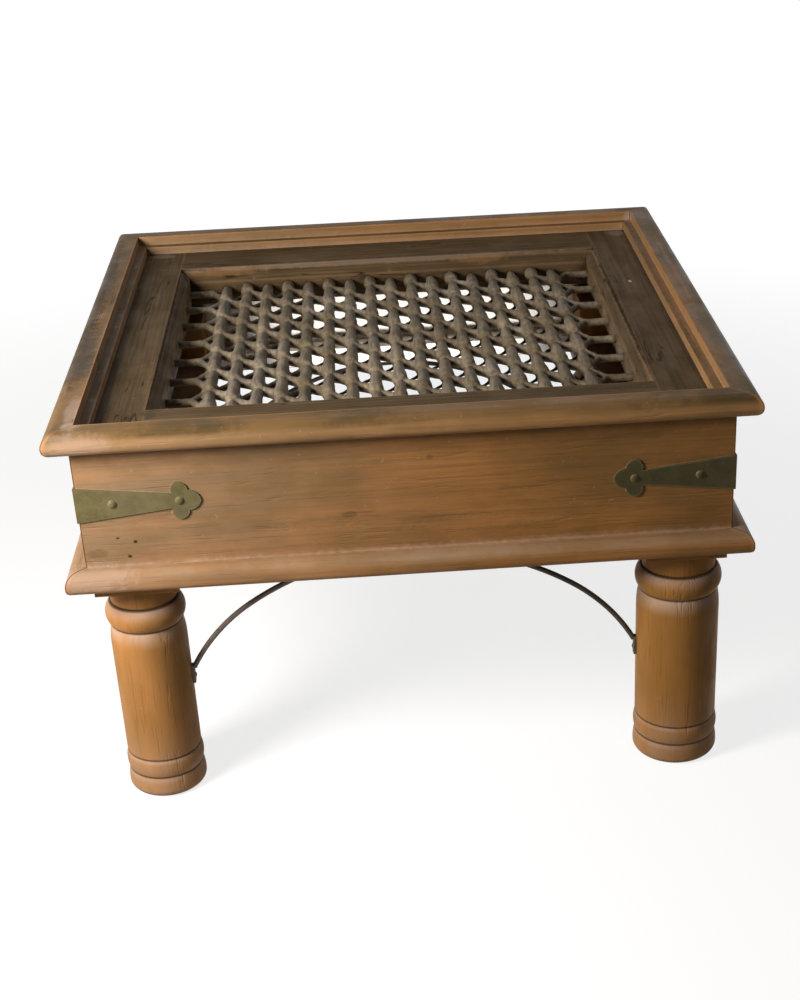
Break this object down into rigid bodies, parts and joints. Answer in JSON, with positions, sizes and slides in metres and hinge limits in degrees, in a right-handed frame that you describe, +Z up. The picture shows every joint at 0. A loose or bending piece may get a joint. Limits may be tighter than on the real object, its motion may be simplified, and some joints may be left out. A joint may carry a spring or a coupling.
{
  "type": "coffee table",
  "caption": "Low square wooden coffee table with a carved lattice window in its recessed top, stout turned legs, iron bow braces and brass corner straps.",
  "frame": {"origin": "on the floor under the middle of the square table", "axes": "+Z up; the pictured front faces -Y; +X to the right when facing the front"},
  "size_m": [0.74, 0.74, 0.463],
  "materials": {
    "frame_wood": "waxed, worn",
    "leg_wood": "waxed, worn",
    "lattice_wood": "weathered",
    "iron": "forged, dull",
    "brass": "tarnished",
    "steel": "plain"
  },
  "bodies": {
    "root": {"top_moulding_front": "frame_wood", "top_moulding_right": "frame_wood", "top_moulding_back": "frame_wood", "top_moulding_left": "frame_wood", "apron_front": "frame_wood", "apron_right": "frame_wood", "apron_back": "frame_wood", "apron_left": "frame_wood", "base_frame_front": "frame_wood", "base_frame_right": "frame_wood", "base_frame_back": "frame_wood", "base_frame_left": "frame_wood", "cleat_front": "frame_wood", "cleat_right": "frame_wood", "cleat_back": "frame_wood", "cleat_left": "frame_wood", "lattice_bead_front": "frame_wood", "lattice_bead_right": "frame_wood", "lattice_bead_back": "frame_wood", "lattice_bead_left": "frame_wood", "leg_front_left": "leg_wood", "leg_front_right": "leg_wood", "leg_back_right": "leg_wood", "leg_back_left": "leg_wood", "corner_block_front_left": "frame_wood", "corner_block_front_right": "frame_wood", "corner_block_back_right": "frame_wood", "corner_block_back_left": "frame_wood", "window_rail_front": "frame_wood", "window_rail_back": "frame_wood", "window_stile_left": "frame_wood", "window_stile_right": "frame_wood", "frame_pegs": "frame_wood", "jali_lattice": "lattice_wood", "bow_front": "iron", "bow_right": "iron", "bow_back": "iron", "bow_left": "iron", "bow_nails": "iron", "moulding_nails": "iron", "bead_pins": "iron", "corner_strap_front_left": "brass", "corner_strap_front_right": "brass", "corner_strap_back_right": "brass", "corner_strap_back_left": "brass", "strap_nails": "brass", "base_screws": "steel", "cleat_screws": "steel"}
  },
  "joints": []
}
